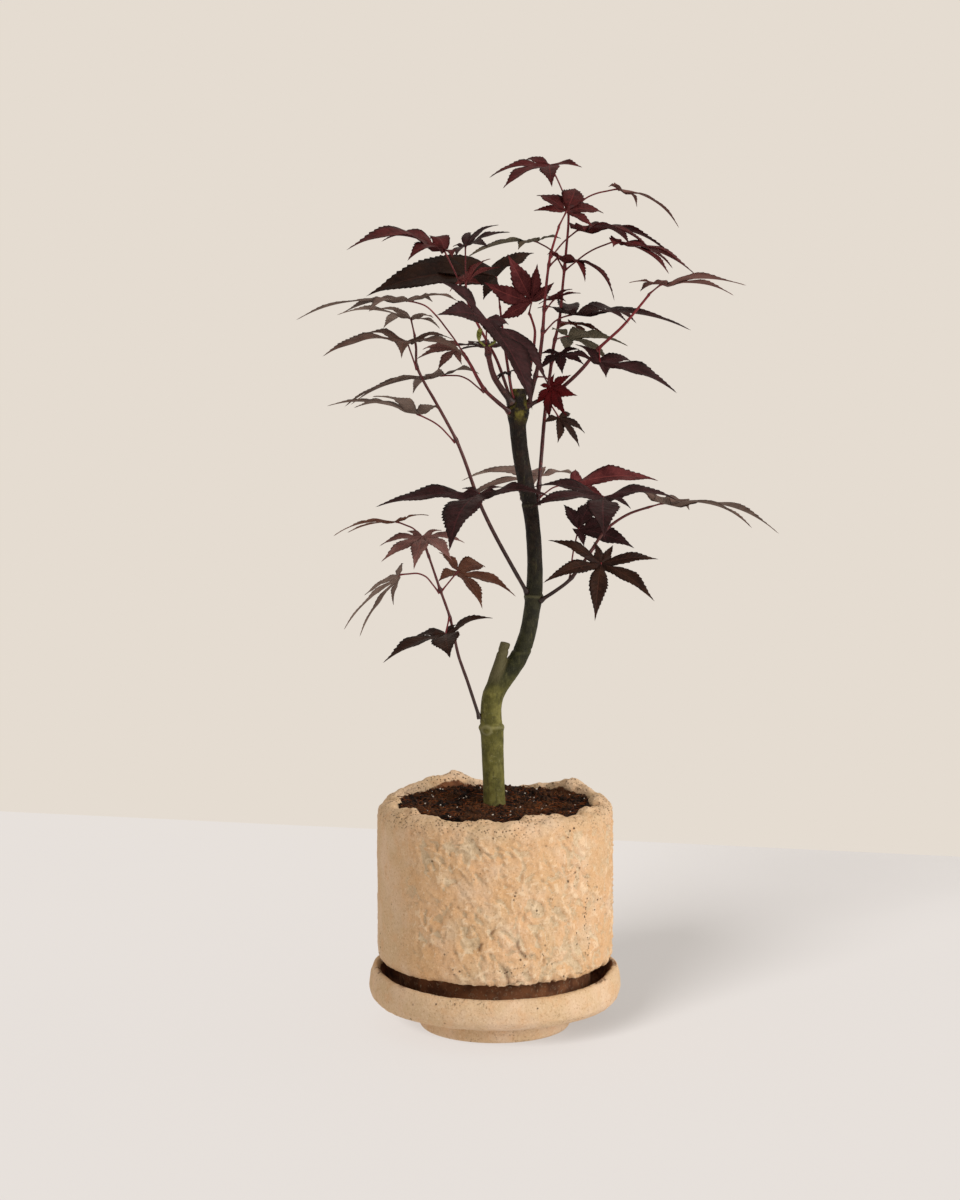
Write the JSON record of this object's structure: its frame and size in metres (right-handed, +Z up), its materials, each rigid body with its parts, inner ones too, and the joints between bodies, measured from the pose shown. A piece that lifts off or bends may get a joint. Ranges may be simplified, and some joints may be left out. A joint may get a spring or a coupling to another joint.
{
  "type": "bonsai tree in a pot",
  "caption": "Young red-leaved maple bonsai with a bent trunk and thin shoots, rooted in a rough thick-walled clay pot on a matching saucer",
  "frame": {"origin": "centre of the flat underside of the saucer's foot, on the surface it stands on", "axes": "+Z up along the pot's axis, -Y towards the side the tree is looked at from, +X to the right seen from there"},
  "size_m": [0.272, 0.1875, 0.5004],
  "materials": {
    "saucer_clay": "unglazed fired clay, fine sandy grain",
    "pot_clay": "unglazed fired clay, hammered and pitted outside",
    "potting_soil": "moist dark potting soil with fibres and perlite",
    "bark": "smooth young bark, olive green below and dark above",
    "shoot": "thin smooth dark red shoots",
    "leaf": "dark red leaf, slightly glossy above, dull and paler below"
  },
  "bodies": {
    "root": {"saucer": "saucer_clay", "pot": "pot_clay", "soil": "potting_soil", "trunk": "bark", "branch_crown_bud": "shoot", "branch_crown_centre": "shoot", "branch_crown_fork": "shoot", "branch_crown_inner": "shoot", "branch_crown_left": "shoot", "branch_leader": "shoot", "branch_low_left": "shoot", "branch_mid_left": "shoot", "branch_mid_right": "shoot", "branch_right": "shoot", "branch_tall": "shoot", "leaf_crown_bud_1": "leaf", "leaf_crown_bud_2": "leaf", "leaf_crown_centre_1": "leaf", "leaf_crown_fork_1": "leaf", "leaf_crown_fork_2": "leaf", "leaf_crown_fork_3": "leaf", "leaf_crown_inner_1": "leaf", "leaf_crown_left_1": "leaf", "leaf_crown_left_2": "leaf", "leaf_crown_left_3": "leaf", "leaf_leader_1": "leaf", "leaf_leader_2": "leaf", "leaf_leader_3": "leaf", "leaf_leader_4": "leaf", "leaf_leader_5": "leaf", "leaf_leader_6": "leaf", "leaf_leader_7": "leaf", "leaf_leader_8": "leaf", "leaf_leader_9": "leaf", "leaf_low_left_1": "leaf", "leaf_low_left_2": "leaf", "leaf_low_left_3": "leaf", "leaf_low_left_4": "leaf", "leaf_low_left_5": "leaf", "leaf_mid_left_1": "leaf", "leaf_mid_left_2": "leaf", "leaf_mid_left_3": "leaf", "leaf_mid_left_4": "leaf", "leaf_mid_right_1": "leaf", "leaf_mid_right_2": "leaf", "leaf_mid_right_3": "leaf", "leaf_mid_right_4": "leaf", "leaf_right_1": "leaf", "leaf_right_2": "leaf", "leaf_right_3": "leaf", "leaf_tall_1": "leaf", "leaf_tall_2": "leaf", "leaf_tall_3": "leaf", "leaf_tall_4": "leaf", "leaf_tall_5": "leaf", "leaf_tall_6": "leaf", "leaf_trunk_1": "leaf"}
  },
  "joints": []
}
